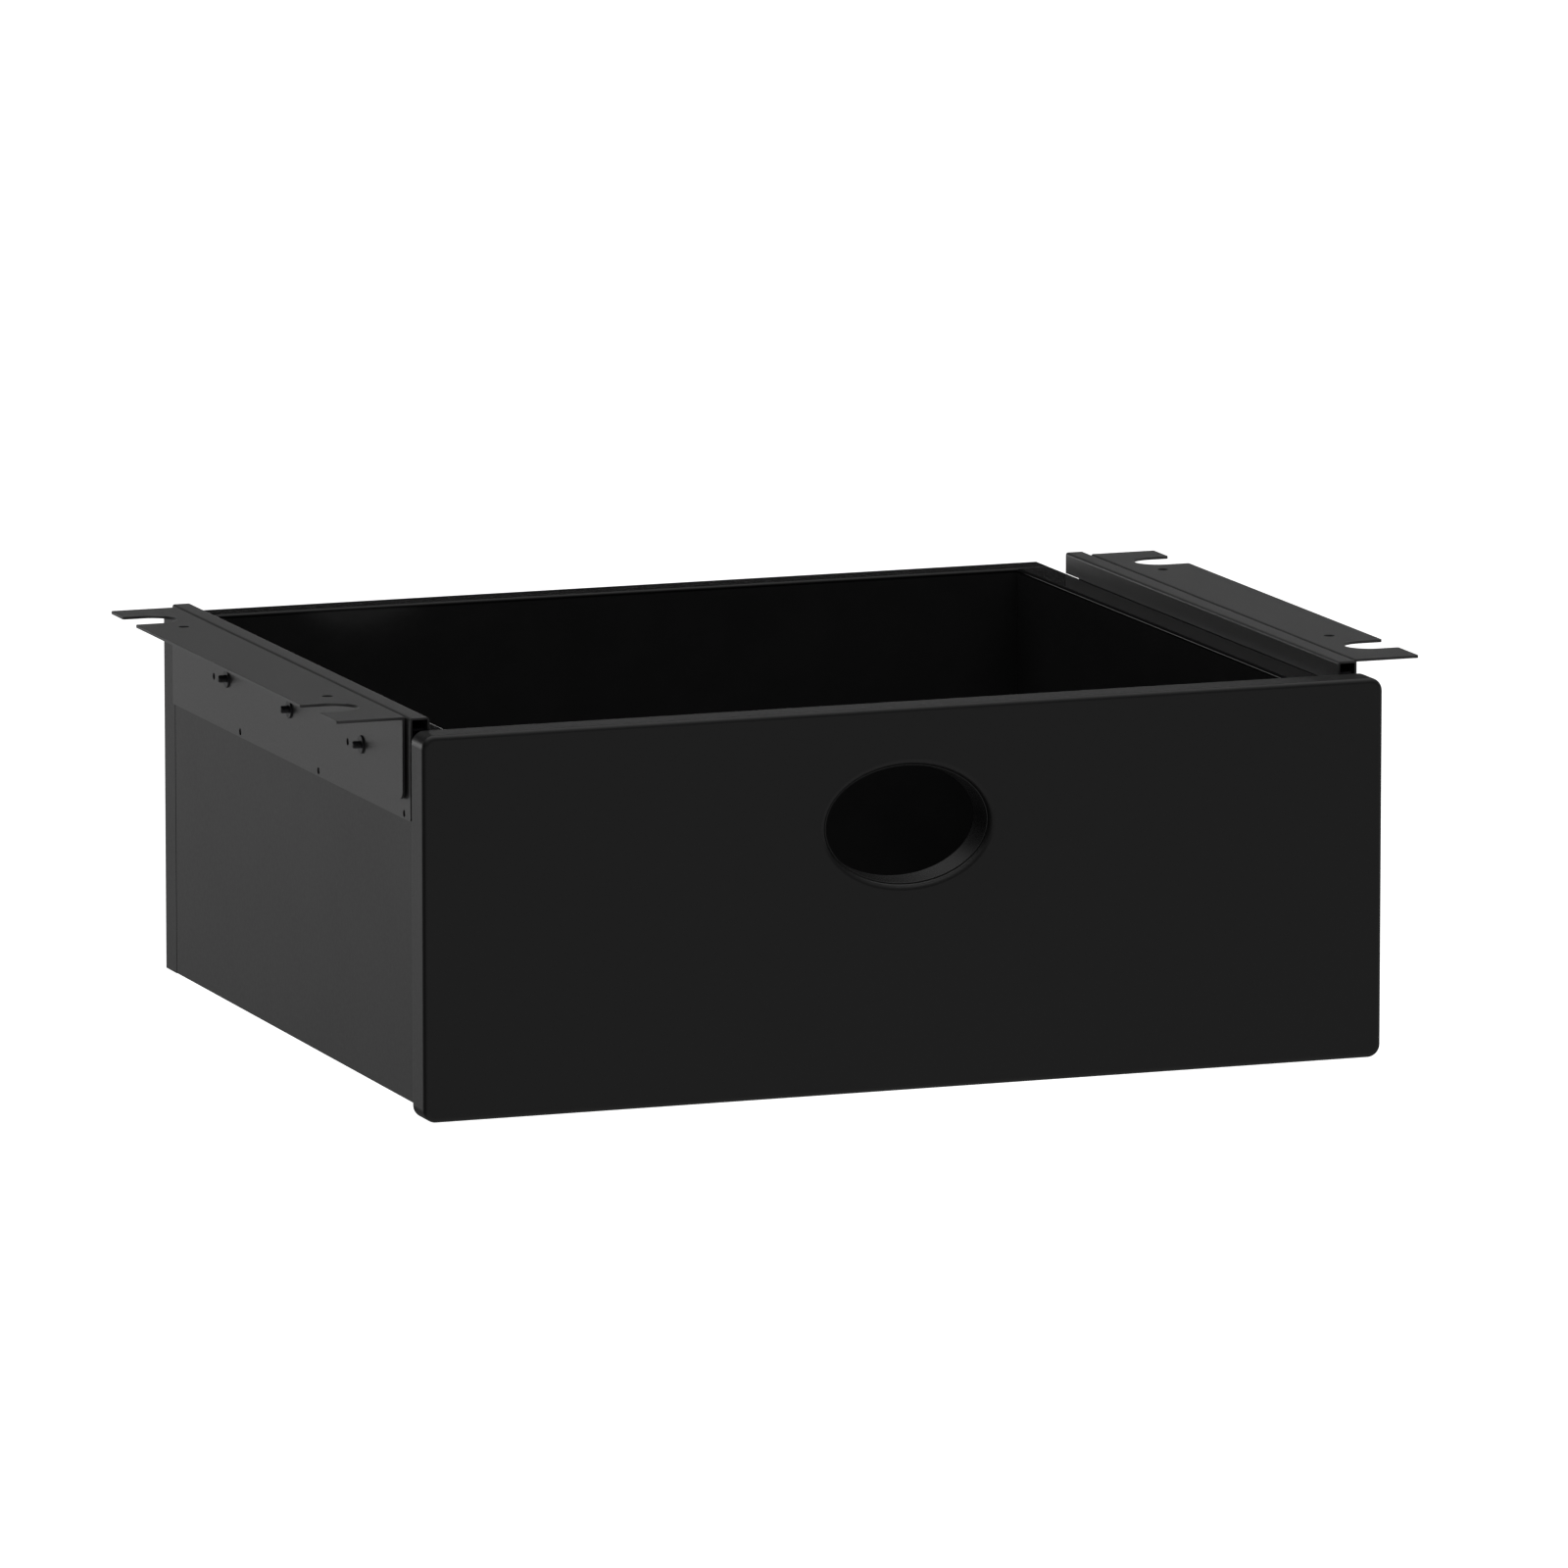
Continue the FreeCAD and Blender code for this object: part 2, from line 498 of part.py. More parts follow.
    # rounded corners of web and tongues
    YF, YR, WL = val("bracket_front"), val("bracket_back"), val("bracket_web_low")
    fillet(body, side + "_web_corners", "bracket_web_corner",
           lambda p: near(p.z, WL) and (near(p.y, YF) or near(p.y, YR)))
    XR, XT = ev(side_x(side, "-bracket_reach")), ev(side_x(side, "tongue_short - bracket_reach"))
    NF, NB, NR = val("notch_front"), val("notch_back"), val("notch_radius")
    fillet(body, side + "_tongue_corners", "tongue_corner",
           lambda p: (near(p.x, XT) and any(near(p.y, q) for q in (YF, YR, NF - NR, NB + NR))) or
           (near(p.x, XR) and any(near(p.y, q) for q in (NF + NR, NB - NR))))
    # softened upper edge of the punched sheet, all round the outline
    DX = ev(side_x(side, "-desk_hole_offset"))
    fillet(body, side + "_sheet_edges", "sheet_edge_radius",
           lambda p: near(p.z, TZ) and abs(p.x - XC) > 2.0 and abs(p.x - DX) > 1.0)
    place(body)

    # Folded cover over the slide: outer plate, top and short inner lip
    body = new_body(side + "_slide_cover")
    outline = [("cover_out", "cover_low"), ("cover_out + cover_thick", "cover_low"),
               ("cover_out + cover_thick", "top_height - cover_thick"),
               ("cover_out + cover_width - cover_thick", "top_height - cover_thick"),
               ("cover_out + cover_width - cover_thick", "cover_lip_step"),
               ("cover_out + cover_width - cover_lip_thin", "cover_lip_step"),
               ("cover_out + cover_width - cover_lip_thin", "cover_lip_low"),
               ("cover_out + cover_width", "cover_lip_low"),
               ("cover_out + cover_width", "top_height"), ("cover_out", "top_height")]
    sk = new_sketch(body, "XZ_Plane", side + "_cover_profile", "-cover_front")
    polygon(sk, [(side_x(side, x), z) for x, z in outline])
    pad(body, sk, side + "_cover_fold", "cover_back - cover_front", reverse=True)
    XA, XB = ev(side_x(side, "cover_out")), ev(side_x(side, "cover_out + cover_width"))
    XA1 = ev(side_x(side, "cover_out + cover_thick"))
    XB1 = ev(side_x(side, "cover_out + cover_width - cover_thick"))
    fillet(body, side + "_cover_bends_out", "cover_bend", lambda p: near(p.z, TZ) and (near(p.x, XA) or near(p.x, XB)))
    fillet(body, side + "_cover_bends_in", "cover_bend - cover_thick",
           lambda p: near(p.z, TZ - val("cover_thick")) and (near(p.x, XA1) or near(p.x, XB1)))
    sk = new_sketch(body, "YZ_Plane", side + "_cover_hole_outline", side_x(side, "cover_out + cover_thick"))
    for y in ("bolt_front", "bolt_mid", "bolt_rear"):
        circle(sk, y, "bolt_height", "bolt_radius + 0.6")
    for y in ("pin_hole_front", "pin_hole_rear"):
        circle(sk, y, "pin_hole_height", "small_hole_radius")
    for y in ("small_hole_front", "small_hole_mid", "small_hole_rear"):
        circle(sk, y, "small_hole_height", "small_hole_radius")
    pocket(body, sk, side + "_cover_holes", "cover_thick + 0.2", reverse=(side == "right"))
    CF, CB, CL = val("cover_front"), val("cover_back"), val("cover_low")
    fillet(body, side + "_cover_corners", "cover_corner",
           lambda p: near(p.z, CL) and (near(p.y, CF) or near(p.y, CB)))
    place(body)

    # Press nuts, one solid at each screw: flange outside, shank through the web
    # and standing out on the inside, which keeps the cover off the web
    sgn = 1 if side == "left" else -1
    x_web = ev(side_x(side, "cover_out - web_gap - bracket_thick"))
    nuts = []
    for y in ("bolt_front", "bolt_mid", "bolt_rear"):
        at = vec(x_web, ev(y), val("bolt_height"))
        disc = Part.makeCylinder(val("nut_flange_radius"), val("nut_flange_thick"), at, vec(-sgn, 0, 0))
        edge = [e for e in disc.Edges if abs(e.CenterOfMass.x - (x_web - sgn * val("nut_flange_thick"))) < 0.01 and e.isClosed()]
        disc = disc.makeFillet(0.25, edge)
        shank = Part.makeCylinder(val("nut_shank_radius"), val("bracket_thick") + val("web_gap") - 0.01, at, vec(sgn, 0, 0))
        bore = Part.makeCylinder(val("bolt_radius") + val("bolt_clear"), 6, at - vec(sgn * 3, 0, 0), vec(sgn, 0, 0))
        nuts.append(disc.fuse(shank).cut(bore).removeSplitter())
    feature(side + "_press_nuts", Part.makeCompound(nuts))

    # M4 countersunk screws from inside the outer rail, ends standing out
    x_rail = ev(side_x(side, "cover_out + cover_thick + rail_sheet"))
    screws = []
    for y in ("bolt_front", "bolt_mid", "bolt_rear"):
        at = vec(x_rail, ev(y), val("bolt_height"))
        cone_long = val("bolt_head_radius") - val("bolt_radius")
        head = Part.makeCone(val("bolt_head_radius"), val("bolt_radius"), cone_long, at, vec(-sgn, 0, 0))
        end_x = ev(side_x(side, "-bolt_tip"))
        total = abs(end_x - x_rail)
        shank = Part.makeCylinder(val("bolt_radius"), total - 0.6, at, vec(-sgn, 0, 0))
        tip = Part.makeCone(val("bolt_radius"), val("bolt_radius") - 0.45, 0.6, at - vec(sgn * (total - 0.6), 0, 0), vec(-sgn, 0, 0))
        # hexagon socket in the head
        hexa = Part.Wire([e for e in Part.makePolygon(
            [vec(x_rail + sgn * 0.5, ev(y) + 1.25 * math.cos(math.radians(60 * k)), val("bolt_height") + 1.25 * math.sin(math.radians(60 * k))) for k in range(7)]).Edges])
        socket = Part.Face(hexa).extrude(vec(-sgn * 1.9, 0, 0))
        screws.append(head.fuse(shank).fuse(tip).removeSplitter().cut(socket))
    feature(side + "_slide_bolts", Part.makeCompound(screws))

# --------------------------------------------------------------- ball slides
for side in ("left", "right"):
    sgn = 1 if side == "left" else -1
    face = "cover_out + cover_thick"          # plane between cover and outer rail

    def rx(e):
        return side_x(side, face + " + " + e)

    # outer rail: a channel with lips that hold the balls
    body = new_body(side + "_slide_outer_rail")
    c = "bolt_height"
    outline = [("0", c + " - rail_half"), ("outer_depth", c + " - rail_half"), ("outer_depth", c + " - rail_half + rail_sheet + outer_lip"),
               ("outer_depth - rail_sheet", c + " - rail_half + rail_sheet + outer_lip"), ("outer_depth - rail_sheet", c + " - rail_half + rail_sheet"),
               ("rail_sheet", c + " - rail_half + rail_sheet"), ("rail_sheet", c + " + rail_half - rail_sheet"),
               ("outer_depth - rail_sheet", c + " + rail_half - rail_sheet"), ("outer_depth - rail_sheet", c + " + rail_half - rail_sheet - outer_lip"),
               ("outer_depth", c + " + rail_half - rail_sheet - outer_lip"), ("outer_depth", c + " + rail_half"), ("0", c + " + rail_half")]
    sk = new_sketch(body, "XZ_Plane", side + "_outer_profile", "-outer_front")
    polygon(sk, [(rx(x), z) for x, z in outline])
    pad(body, sk, side + "_outer_channel", "outer_back - outer_front", reverse=True)
    ZH = (val("bolt_height") + val("rail_half"), val("bolt_height") - val("rail_half"))
    XO0, XO1 = ev(rx("0")), ev(rx("outer_depth"))
    fillet(body, side + "_outer_bends", "0.9 * rail_sheet",
           lambda p: (near(p.x, XO0) or near(p.x, XO1)) and (near(p.z, ZH[0]) or near(p.z, ZH[1])))
    sk = new_sketch(body, "YZ_Plane", side + "_outer_hole_outline", rx("rail_sheet"))
    for y in ("bolt_front", "bolt_mid", "bolt_rear"):
        circle(sk, y, c, "bolt_radius + 0.55")
    for y in ("bolt_front + 30", "bolt_mid + 36"):
        circle(sk, y, c, "bolt_radius + 1.2")
    pocket(body, sk, side + "_outer_holes", "rail_sheet", reverse=(side == "right"))
    XF = ev(rx("rail_sheet"))
    ys = [val(q) for q in ("bolt_front", "bolt_mid", "bolt_rear")]
    fillet(body, side + "_outer_countersinks", "0.96",
           lambda p: near(p.x, XF) and abs(p.z - val("bolt_height")) < 3 and any(abs(p.y - q) < 2.7 for q in ys),
           kind="PartDesign::Chamfer")
    place(body)

    # inner rail: a narrower channel facing the outer one, on the box wall
    body = new_body(side + "_slide_inner_rail")
    outline = [("slide_thick", c + " - inner_half"), ("slide_thick", c + " + inner_half"),
               ("slide_thick - inner_depth + rail_sheet", c + " + inner_half"),
               ("slide_thick - inner_depth + rail_sheet", c + " + inner_half + inner_lip"),
               ("slide_thick - inner_depth", c + " + inner_half + inner_lip"),
               ("slide_thick - inner_depth", c + " + inner_half - rail_sheet"),
               ("slide_thick - rail_sheet", c + " + inner_half - rail_sheet"),
               ("slide_thick - rail_sheet", c + " - inner_half + rail_sheet"),
               ("slide_thick - inner_depth", c + " - inner_half + rail_sheet"),
               ("slide_thick - inner_depth", c + " - inner_half - inner_lip"),
               ("slide_thick - inner_depth + rail_sheet", c + " - inner_half - inner_lip"),
               ("slide_thick - inner_depth + rail_sheet", c + " - inner_half")]
    sk = new_sketch(body, "XZ_Plane", side + "_inner_profile", "-inner_front")
    polygon(sk, [(rx(x), z) for x, z in outline])
    pad(body, sk, side + "_inner_channel", "inner_back - inner_front", reverse=True)
    XI1 = ev(rx("slide_thick"))
    ZI = (val("bolt_height") + val("inner_half"), val("bolt_height") - val("inner_half"))
    fillet(body, side + "_inner_bends", "0.9 * rail_sheet",
           lambda p: near(p.x, XI1) and (near(p.z, ZI[0]) or near(p.z, ZI[1])))
    sk = new_sketch(body, "YZ_Plane", side + "_inner_hole_outline", rx("slide_thick"))
    for k in range(4):
        circle(sk, "rail_screw_first + %d * rail_screw_pitch" % k, c, "rail_screw_radius + fit_gap")
    pocket(body, sk, side + "_inner_holes", "rail_sheet + 0.5", reverse=(side == "right"))
    place(body)

    # wood screws of the inner rail: pan heads in the channel
    x_head = ev(rx("slide_thick - rail_sheet"))
    shapes = []
    for k in range(4):
        at = vec(x_head, ev("rail_screw_first + %d * rail_screw_pitch" % k), val("bolt_height"))
        head = Part.makeCylinder(val("rail_screw_head"), val("rail_screw_head_thick"), at, vec(-sgn, 0, 0))
        rim = [e for e in head.Edges if e.isClosed() and abs(e.CenterOfMass.x - (x_head - sgn * val("rail_screw_head_thick"))) < 0.01]
        head = head.makeFillet(0.8, rim)
        long = val("rail_screw_long")
        shank = Part.makeCylinder(val("rail_screw_radius"), long - 3, at, vec(sgn, 0, 0))
        point = Part.makeCone(val("rail_screw_radius"), 0.3, 3, at + vec(sgn * (long - 3), 0, 0), vec(sgn, 0, 0))
        slot = Part.makeBox(0.8, 0.9, 4.4, at + vec(-sgn * val("rail_screw_head_thick") - 0.4, -0.45, -2.2))
        slot2 = Part.makeBox(0.8, 4.4, 0.9, at + vec(-sgn * val("rail_screw_head_thick") - 0.4, -2.2, -0.45))
        shapes.append(head.fuse(shank).fuse(point).removeSplitter().cut(slot).cut(slot2))
    feature(side + "_rail_screws", Part.makeCompound(shapes))

    # ball cage: a thin channel with a round window at each ball
    body = new_body(side + "_ball_cage")
    outline = [("cage_depth", c + " - cage_half"), ("cage_reach", c + " - cage_half"), ("cage_reach", c + " - cage_half + cage_gauge"),
               ("cage_depth + cage_gauge", c + " - cage_half + cage_gauge"), ("cage_depth + cage_gauge", c + " + cage_half - cage_gauge"),
               ("cage_reach", c + " + cage_half - cage_gauge"), ("cage_reach", c + " + cage_half"), ("cage_depth", c + " + cage_half")]
    sk = new_sketch(body, "XZ_Plane", side + "_cage_profile", "-cage_front")
    polygon(sk, [(rx(x), z) for x, z in outline])
    pad(body, sk, side + "_cage_channel", "cage_back - cage_front", reverse=True)
    sk = new_sketch(body, "XY_Plane", side + "_cage_window_outline", "bolt_height + cage_half")
    for k in range(11):
        circle(sk, rx("ball_depth"), "ball_first + %d * ball_pitch" % k, "ball_radius + ball_slot")
    pocket(body, sk, side + "_cage_windows_high", "2 * cage_half")
    place(body)

    # balls, held in the cage's windows, in one row above and one below
    balls = []
    for k in range(11):
        for up in (1, -1):
            at = vec(ev(rx("ball_depth")), val("ball_first") + k * val("ball_pitch"), val("bolt_height") + up * val("ball_half"))
            balls.append(Part.makeSphere(val("ball_radius"), at))
    feature(side + "_bearing_balls", Part.makeCompound(balls))

    # rubber stop at the back end of the outer rail
    stop = doc.addObject("Part::Box", side + "_rail_stop_block")
    for prop, e in (("Length", "bumper_depth - rail_sheet"), ("Width", "bumper_back - bumper_front"), ("Height", "2 * bumper_half")):
        stop.setExpression(prop, tie(e))
    doc.recompute()
    rounded = doc.addObject("Part::Fillet", side + "_rail_stop")
    rounded.Base = stop
    rounded.Edges = [(i, 1.0, 1.0) for i, e in enumerate(stop.Shape.Edges, start=1)
                     if all(abs(v.Point.y) < 0.01 for v in e.Vertexes) and not near(e.CenterOfMass.x, 0 if side == "left" else val("bumper_depth") - val("rail_sheet"))]
    rounded.Label = side + "_rail_stop"
    doc.recompute()
    sx = "-front_width / 2 + " + (rx("rail_sheet") if side == "left" else rx("bumper_depth"))
    sy = "bumper_front - (desk_hole_front + desk_hole_pitch / 2)"
    sz = "bolt_height - bumper_half - top_height"
    rounded.Placement = FreeCAD.Placement(vec(ev(sx), ev(sy), ev(sz)), FreeCAD.Rotation())
    rounded.setExpression("Placement.Base.x", tie(sx))
    rounded.setExpression("Placement.Base.y", tie(sy))
    rounded.setExpression("Placement.Base.z", tie(sz))
    SUBPARTS.append(rounded)

# ----------------------------------------------------------- box joint fittings
cams, cam_bolts, dowels, back_screws = [], [], [], []
for side in ("left", "right"):
    sgn = 1 if side == "left" else -1
    x_in = ev(side_x(side, "box_inset + wall_thick"))
    x_mid = ev(side_x(side, "box_inset + wall_thick / 2"))
    for hz in ("cam_low", "cam_high"):
        yc = ev("front_thick + cam_setback")
        at = vec(x_in, yc, val(hz))
        cam = Part.makeCylinder(val("cam_radius"), val("cam_deep"), at, vec(-sgn, 0, 0))
        # slot that takes the bolt's head, and the cross slot for the driver
        hook = Part.makeBox(9.0, 11.0, 2 * val("cam_bolt_head") + 1.0,
                            vec(x_mid - 4.5, yc - 11.0 + 2.8, val(hz) - val("cam_bolt_head") - 0.5))
        s1 = Part.makeBox(2.4, 9.0, 1.4, vec(x_in - 1.2, yc - 4.5, val(hz) - 0.7))
        s2 = Part.makeBox(2.4, 1.4, 9.0, vec(x_in - 1.2, yc - 0.7, val(hz) - 4.5))
        cams.append(cam.cut(hook).cut(s1).cut(s2))
        ft = val("front_thick")
        thread = Part.makeCylinder(val("cam_bolt_thread"), val("cam_bolt_in_front"), vec(x_mid, ft - val("cam_bolt_in_front"), val(hz)), vec(0, 1, 0))
        stem = Part.makeCylinder(val("cam_bolt_thread") - 0.6, val("cam_setback") - 3.5, vec(x_mid, ft, val(hz)), vec(0, 1, 0))
        collar = Part.makeCylinder(val("cam_bolt_radius") + 0.4, 1.2, vec(x_mid, ft + 0.05, val(hz)), vec(0, 1, 0))
        knob = Part.makeCylinder(val("cam_bolt_radius"), 3.2, vec(x_mid, ft + val("cam_setback") - 4.5, val(hz)), vec(0, 1, 0))
        cam_bolts.append(thread.fuse(stem).fuse(collar).fuse(knob).removeSplitter())
    peg = Part.makeCylinder(val("dowel_radius"), val("dowel_in_front") + val("dowel_in_wall"),
                            vec(x_mid, val("front_thick") - val("dowel_in_front"), val("dowel_height")), vec(0, 1, 0))
    peg = peg.makeChamfer(0.8, [e for e in peg.Edges if e.isClosed()])
    dowels.append(peg)
    for hz in ("back_screw_low", "dowel_height", "back_screw_high"):
        yb = val("box_back") - 0.3
        at = vec(x_mid, yb, val(hz))
        grow = val("back_screw_head") - val("back_screw_radius") - 0.3
        head = Part.makeCone(val("back_screw_head") - 0.3, val("back_screw_radius"), grow, at, vec(0, -1, 0))
        body_long = val("back_screw_long") - 4
        shank = Part.makeCylinder(val("back_screw_radius"), body_long, at, vec(0, -1, 0))
        point = Part.makeCone(val("back_screw_radius"), 0.5, 3.5, at - vec(0, body_long, 0), vec(0, -1, 0))
        hexa = Part.Wire(Part.makePolygon([vec(x_mid + 2.0 * math.cos(math.radians(60 * k)), yb + 0.5, val(hz) + 2.0 * math.sin(math.radians(60 * k))) for k in range(7)]).Edges)
        socket = Part.Face(hexa).extrude(vec(0, -2.6, 0))
        back_screws.append(head.fuse(shank).fuse(point).removeSplitter().cut(socket))
feature("cam_locks", Part.makeCompound(cams))
feature("cam_bolts", Part.makeCompound(cam_bolts))
feature("wood_dowels", Part.makeCompound(dowels))
feature("back_panel_screws", Part.makeCompound(back_screws))

# ------------------------------------------------------------------ test, write
doc.recompute()
for obj in doc.Objects:
    bad = [s for s in obj.State if s in ("Invalid", "Error")]
    if bad:
        raise RuntimeError("%s is %s" % (obj.Label, bad))
labels = [o.Label for o in SUBPARTS]
if len(set(labels)) != len(labels):
    raise RuntimeError("two sub-parts share a label")
os.makedirs("parts", exist_ok=True)
for old in os.listdir("parts"):
    if old.endswith(".step") and old[:-5] not in labels:
        os.remove(os.path.join("parts", old))
for obj in SUBPARTS:
    shape = obj.Shape
    if shape.isNull() or not shape.isValid() or not shape.Solids:
        raise RuntimeError("sub-part %s has no valid solid" % obj.Label)
    shape.exportStep(os.path.join("parts", obj.Label + ".step"))
    box = shape.BoundBox
    print("%-26s solids %2d  volume %11.1f  x %8.2f %8.2f  y %8.2f %8.2f  z %8.2f %8.2f" % (
        obj.Label, len(shape.Solids), shape.Volume, box.XMin, box.XMax, box.YMin, box.YMax, box.ZMin, box.ZMax))
print(len(SUBPARTS), "sub-parts")
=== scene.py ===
# Looks of the under desk drawer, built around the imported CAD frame.
import math

import bmesh
import bpy
from mathutils import Matrix, Vector


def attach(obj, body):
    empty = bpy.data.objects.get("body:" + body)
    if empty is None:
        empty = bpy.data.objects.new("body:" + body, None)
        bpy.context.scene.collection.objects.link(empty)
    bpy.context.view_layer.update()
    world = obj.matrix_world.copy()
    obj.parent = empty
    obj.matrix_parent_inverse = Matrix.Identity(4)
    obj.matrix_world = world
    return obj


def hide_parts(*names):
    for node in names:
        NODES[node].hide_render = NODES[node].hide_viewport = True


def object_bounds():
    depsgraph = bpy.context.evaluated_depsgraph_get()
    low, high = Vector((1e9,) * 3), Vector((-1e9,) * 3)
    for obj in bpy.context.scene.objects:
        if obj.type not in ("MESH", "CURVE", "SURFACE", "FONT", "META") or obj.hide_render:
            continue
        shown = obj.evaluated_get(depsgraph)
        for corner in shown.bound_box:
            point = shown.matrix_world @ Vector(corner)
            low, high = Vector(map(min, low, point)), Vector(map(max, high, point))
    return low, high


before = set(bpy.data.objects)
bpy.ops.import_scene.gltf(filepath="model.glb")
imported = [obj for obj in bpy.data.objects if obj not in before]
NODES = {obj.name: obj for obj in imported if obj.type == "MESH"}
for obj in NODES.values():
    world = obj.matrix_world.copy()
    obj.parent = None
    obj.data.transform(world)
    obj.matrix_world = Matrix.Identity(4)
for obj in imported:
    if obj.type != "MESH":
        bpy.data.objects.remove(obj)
CAD_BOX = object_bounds()
scene = bpy.context.scene
SIDES = ("left", "right")


# ------------------------------------------------------------------ materials
def node(nt, kind, **values):
    n = nt.nodes.new(kind)
    for key, value in values.items():
        if key.startswith("in_"):
            n.inputs[key[3:].replace("_", " ")].default_value = value
        else:
            setattr(n, key, value)
    return n


class Mat:
    """A Principled material over object coordinates (metres), built up in steps."""

    def __init__(self, name, base, rough, metallic=0.0, specular=0.5, ior=1.5, coat=0.0, coat_rough=0.1):
        self.m = bpy.data.materials.new(name)
        self.m.use_nodes = True
        self.nt = self.m.node_tree
        self.nt.nodes.clear()
        self.out = node(self.nt, "ShaderNodeOutputMaterial")
        self.p = node(self.nt, "ShaderNodeBsdfPrincipled")
        self.nt.links.new(self.p.outputs["BSDF"], self.out.inputs["Surface"])
        self.tc = node(self.nt, "ShaderNodeTexCoord")
        self.p.inputs["Base Color"].default_value = (*base, 1)
        self.p.inputs["Roughness"].default_value = rough
        self.p.inputs["Metallic"].default_value = metallic
        self.p.inputs["Specular IOR Level"].default_value = specular
        self.p.inputs["IOR"].default_value = ior
        self.p.inputs["Coat Weight"].default_value = coat
        self.p.inputs["Coat Roughness"].default_value = coat_rough
        self.base, self.rough = base, rough
        self.color = None
        self.rough_out = None
        self.normal = None

    def link(self, a, b):
        self.nt.links.new(a, b)

    def coords(self, scale=(1, 1, 1)):
        mp = node(self.nt, "ShaderNodeMapping")
        mp.inputs["Scale"].default_value = scale
        self.link(self.tc.outputs["Object"], mp.inputs["Vector"])
        return mp.outputs["Vector"]

    def noise(self, scale, detail=2.0, rough=0.5, stretch=(1, 1, 1), distortion=0.0):
        n = node(self.nt, "ShaderNodeTexNoise")
        n.inputs["Scale"].default_value = scale
        n.inputs["Detail"].default_value = detail
        n.inputs["Roughness"].default_value = rough
        n.inputs["Distortion"].default_value = distortion
        self.link(self.coords(stretch), n.inputs["Vector"])
        return n.outputs["Fac"]

    def remap(self, fac, lo, hi, to_lo, to_hi, smooth=False):
        r = node(self.nt, "ShaderNodeMapRange")
        if smooth:
            r.interpolation_type = "SMOOTHSTEP"
        for key, value in (("From Min", lo), ("From Max", hi), ("To Min", to_lo), ("To Max", to_hi)):
            r.inputs[key].default_value = value
        self.link(fac, r.inputs["Value"])
        return r.outputs["Result"]

    def math(self, op, a, b=None, clamp=False):
        n = node(self.nt, "ShaderNodeMath", operation=op)
        n.use_clamp = clamp
        for i, x in enumerate((a, b)):
            if x is None:
                continue
            if isinstance(x, (int, float)):
                n.inputs[i].default_value = x
            else:
                self.link(x, n.inputs[i])
        return n.outputs[0]

    def mix_color(self, fac, a, b, blend="MIX"):
        n = node(self.nt, "ShaderNodeMix", data_type="RGBA", blend_type=blend)
        for key, x in ((0, fac), (6, a), (7, b)):
            if isinstance(x, (int, float)):
                n.inputs[key].default_value = x
            elif isinstance(x, tuple):
                n.inputs[key].default_value = (*x, 1) if len(x) == 3 else x
            else:
                self.link(x, n.inputs[key])
        return n.outputs[2]

    def tint(self, fac, other):
        """Mixes the colour so far towards another one where fac is high."""
        self.color = self.mix_color(fac, self.color if self.color is not None else self.base, other)
        self.link(self.color, self.p.inputs["Base Color"])
        return self

    def roughen(self, value):
        self.rough_out = value
        self.link(value, self.p.inputs["Roughness"])
        return self

    def bump(self, height, strength, distance):
        b = node(self.nt, "ShaderNodeBump")
        b.inputs["Strength"].default_value = strength
        b.inputs["Distance"].default_value = distance
        self.link(height, b.inputs["Height"])
        if self.normal is not None:
            self.link(self.normal, b.inputs["Normal"])
        self.normal = b.outputs["Normal"]
        self.link(self.normal, self.p.inputs["Normal"])
        return self

    def edge_mask(self, width=0.0006):
        """High along convex edges: how far a rounded normal turns from the face's own."""
        bev = node(self.nt, "ShaderNodeBevel")
        bev.samples = 4
        bev.inputs["Radius"].default_value = width
        geo = node(self.nt, "ShaderNodeNewGeometry")
        dot = node(self.nt, "ShaderNodeVectorMath", operation="DOT_PRODUCT")
        self.link(bev.outputs["Normal"], dot.inputs[0])
        self.link(geo.outputs["Normal"], dot.inputs[1])
        return self.remap(dot.outputs["Value"], 0.995, 0.90, 0.0, 1.0, smooth=True)


def lacquer(name, base, pale, rough, specular):
    """Satin black lacquer on smooth board: fine orange peel, faint cloudy sheen, convex edges a touch smoother and
    lightened with a painted highlight.
    """
    m = Mat(name, base, rough, specular=specular, coat=0.0)
    cloud = m.noise(7.0, 4.0, 0.55)
    fine = m.noise(420.0, 3.0, 0.6)
    grit = m.noise(2600.0, 2.0, 0.6)
    m.tint(m.remap(cloud, 0.35, 0.7, 0.0, 0.55, True), pale)
    m.tint(m.remap(grit, 0.62, 0.8, 0.0, 0.35, True), tuple(min(1, c * 1.6) for c in pale))
    # painted highlight: convex edges tinted towards a paler black
    edge = m.edge_mask(0.0011)
    m.tint(m.math("MULTIPLY", edge, 0.35), tuple(min(1, c * 1.9) for c in pale))
    r = m.remap(cloud, 0.3, 0.75, rough - 0.035, rough + 0.045)
    r = m.math("ADD", r, m.remap(fine, 0.3, 0.7, -0.025, 0.03))
    m.roughen(m.math("SUBTRACT", r, m.math("MULTIPLY", edge, 0.06), clamp=True))
    m.bump(m.noise(520.0, 2.0, 0.5), 0.06, 0.00006)
    m.bump(grit, 0.05, 0.00001)
    return m


